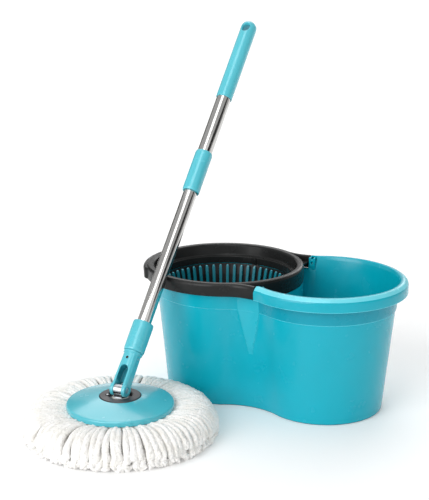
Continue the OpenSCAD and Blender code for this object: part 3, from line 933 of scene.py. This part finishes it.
# smooth shells in place of the faceted tubes
for name, node, body, r, wall, z0, z1 in (
        ("lower_tube_shell", "lower_tube", "lower_pole", LOW_R, 0.8, 42, 398),
        ("upper_tube_shell", "upper_tube", "upper_pole", UP_R, 0.6, 346, 628)):
    rows = fillet([(r - wall, z0), (r, z0), (r, z1), (r - wall, z1)], 0.2, 2, True)
    tube = make(name, Geo().lathe(rows, 128, closed=True), M_STEEL, 40, matrix=POLE)
    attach(tube, body)
    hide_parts(node)

# a small socket with a steel screw on the insert, in front of the neck: a flat disc painted near
# black as the shade in the socket's hole
spot = (MOP[0] - 15.6, MOP[1] - 10.4)
socket_rows = [(0, 59.2), (3.5, 59.2), (3.5, 60.5), (3.1, 60.75), (0, 60.75)]
socket = make("insert_socket", Geo().lathe(socket_rows, 40, centre=spot), M_HOLE_SHADE)
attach(socket, "head")
dome_rows = [(0, 60.2), (1.8, 60.6), (1.7, 61.2), (0.9, 61.6), (0, 61.65)]
dome = make("socket_screw", Geo().lathe(dome_rows, 32, centre=spot), M_SCREW)
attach(dome, "head")


def dense(rows):
    """A closed section with points added, which then lie 2 to 4 mm apart on long upright sides."""
    step = 2.0
    out = []
    for i, (r, z) in enumerate(rows):
        r2, z2 = rows[(i + 1) % len(rows)]
        k = max(1, int(abs(z2 - z) / step))
        out += [(r + (r2 - r) * j / k, z + (z2 - z) * j / k) for j in range(k)]
    return out


sleeve_rows = dense(fillet(
    [(12.3, 60), (15.2, 60), (15.9, 63), (16, 104), (15.5, 108), (11.1, 108), (11.1, 103),
     (12.3, 101.6)], [0.3, 1.2, 2, 2, 1.6, 0.6, 0.5, 0.5], 4, True))
sleeve_geo = Geo().lathe(sleeve_rows, 96, closed=True)
sleeve = make("lock_sleeve_shell", sleeve_geo, M_MOP, 40, matrix=POLE)
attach(sleeve, "sleeve")
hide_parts("lock_sleeve")

collar_rows = dense(fillet(
    [(11.3, 334.6), (13.4, 334.6), (14, 338), (14, 402), (13.2, 406), (11.95, 406), (11.95, 397),
     (12.7, 396.4), (12.7, 337.6), (11.3, 337.6)],
    [0.4, 1.2, 1.5, 1.5, 1.4, 0.4, 0.3, 0.3, 0.3, 0.3], 4, True))
collar_geo = Geo().lathe(collar_rows, 96, closed=True)
collar = make("lock_collar_shell", collar_geo, M_MOP, 40, matrix=POLE)
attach(collar, "collar")
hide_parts("lock_collar")

# the grip: a cup over the upper tube with a round top, and a flared hang hole through it
grip_rows = [(0, 628.6), (11.8, 628.6), (11.8, 508), (12.7, 508), (13.1, 508.6), (GRIP_R, 510.4)]
grip_rows += [(GRIP_R, z) for z in range(514, 644, 6)]
for t in range(0, 90, 6):
    t = math.radians(t)
    grip_rows.append((GRIP_R * math.cos(t), POLE_TOP - GRIP_R + GRIP_R * math.sin(t)))
grip_rows.append((0, POLE_TOP))
grip = make("grip_shell", Geo().lathe(grip_rows, 96), M_MOP, matrix=POLE)
hole_rows = [(0, -18), (9.2, -18), (9.2, -13.6), (6.5, -8.4), (6.5, 8.4), (9.2, 13.6), (9.2, 18),
             (0, 18)]
hole = Geo().lathe(fillet(hole_rows, [0, 0, 1, 4, 4, 1, 0, 0], 5), 64)
cut(grip, pole_tool(hole, T(0, 0, HANG_Z) @ ROT_Y))
soften(grip, 0.5, 3, M_MOP, 70)
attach(grip, "upper_pole")
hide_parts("grip")

# ---------------------------------------------------------------- nodes shown as the CAD has them
looks = {
    M_BRIDGE: ("bearing_bridge", "nut_housing", "rod_anchor"),
    M_SCREW: ("bridge_screws", "basket_axle", "axle_clip", "insert_screws", "neck_clip",
              "pivot_pin", "pivot_nut", "yoke_rivet", "anchor_rivet"),
    M_NYLON: ("thrust_washer", "axle_bush", "refill_ring", "neck_washer", "housing_cap",
              "collar_insert"),
    M_BASKET: ("basket_hub_cap",),
    M_INSERT: ("hub_insert",),
    M_NECK: ("swivel_neck",),
    M_BRASS: ("drive_nut",),
    M_ROD: ("drive_rod",),
}
for look, names in looks.items():
    for n in names:
        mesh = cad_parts[n].data
        mesh.materials.clear()
        mesh.materials.append(look)

# ---------------------------------------------------------------- camera, floor and lights
# the camera was fitted to the photo's perspective. flat is its level direction of view
cam = bpy.data.objects.new("camera", bpy.data.cameras.new("camera"))
scene.collection.objects.link(cam)
scene.camera = cam
cam.data.sensor_width = 36
cam.data.lens = 89.49
cam.data.shift_x, cam.data.shift_y = 0.0058, -0.0039
cam.data.clip_start, cam.data.clip_end = 0.05, 30
pitch = math.radians(14.746)
flat = Vector((-0.4769, 0.8790, 0)).normalized()
aim = flat * math.cos(pitch) - Vector((0, 0, 1)) * math.sin(pitch)
cam.location = Vector((810.25, -1700.63, 737.43)) * MM
cam.rotation_mode = "QUATERNION"
cam.rotation_quaternion = aim.to_track_quat("-Z", "Y")

M_FLOOR = greys("floor_pale", "Base Color", 0.8, 0.925, 0.94, Roughness=0.7,
                Emission_Strength=0.11, Emission_Color=(1, 1, 1, 1), Specular_IOR_Level=0.1)
FLOOR_HALF = 60000
floor_geo = Geo().box((-FLOOR_HALF, -FLOOR_HALF, -12), (FLOOR_HALF, FLOOR_HALF, -0.05))
floor = make("floor", floor_geo, M_FLOOR)


def rel(right, ahead, up):
    """A direction or offset along the camera's own right and ahead, and up."""
    return Vector((flat.y, -flat.x, 0)) * right + flat * ahead + Vector((0, 0, up))


def sun(name, source, strength, spread):
    """A very soft light that comes evenly from the source's direction, spread in degrees."""
    d = bpy.data.lights.new(name, "SUN")
    d.energy, d.angle = strength, math.radians(spread)
    o = bpy.data.objects.new(name, d)
    scene.collection.objects.link(o)
    o.rotation_mode = "QUATERNION"
    o.rotation_quaternion = (-source).to_track_quat("-Z", "Y")


sun("key", rel(-0.75, -0.85, 0.55), 1.75, 42)
sun("fill", rel(0.30, -1.0, 0.30), 0.38, 60)
sun("top", rel(-0.12, 0.28, 1.0), 0.50, 50)
sun("back", rel(0.05, 1.0, 0.85), 0.60, 40)
world = bpy.data.worlds.new("studio")
scene.world = world
world.use_nodes = True
bg = world.node_tree.nodes["Background"]
bg.inputs["Color"].default_value = (1, 1, 1, 1)
bg.inputs["Strength"].default_value = 0.52
scene.view_settings.view_transform = "Standard"
scene.view_settings.look = "None"

# dark and bright cards round the set, seen only as reflections in the steel and glossy plastic
M_CARD = greys("card_black", "Base Color", 2, 0.01, 0.02, Roughness=0.9)
M_GLOW = greys("card_white", "Emission Color", 2, 0.9, 1, Emission_Strength=2.2, Roughness=0.9)
M_SOFT = greys("card_soft", "Emission Color", 2, 0.9, 1, Emission_Strength=1.45, Roughness=0.9)
POLE_MID = Vector((MOP[0], -60.0, 300.0)) * MM


def card(name, direction, dist, width, height, mat):
    """A flat card standing off the middle of the pole, square to the direction."""
    g = Geo().box((-width / 2, -height / 2, -2), (width / 2, height / 2, 2))
    c = make(name, g, mat)
    d = Vector(direction).normalized()
    c.location = POLE_MID + d * dist
    c.rotation_mode = "QUATERNION"
    c.rotation_quaternion = d.to_track_quat("Z", "Y")
    c.visible_camera = c.visible_diffuse = c.visible_shadow = c.visible_transmission = False


# name, direction, distance in metres, width and height in millimetres
card("card_top", (0.10, -0.48, 0.86), 2.0, 900, 2200, M_GLOW)
card("card_front_left", rel(-0.8, -0.6, 0.25), 1.8, 600, 1300, M_GLOW)
card("card_back_right", rel(0.55, 1.0, 0.42), 2.4, 900, 900, M_SOFT)
card("card_right", (0.92, 0.06, 0.40), 1.7, 1500, 700, M_CARD)
card("card_left", (-0.89, 0.44, 0.12), 1.5, 640, 900, M_CARD)

bpy.data.materials.remove(TOOL_MAT)
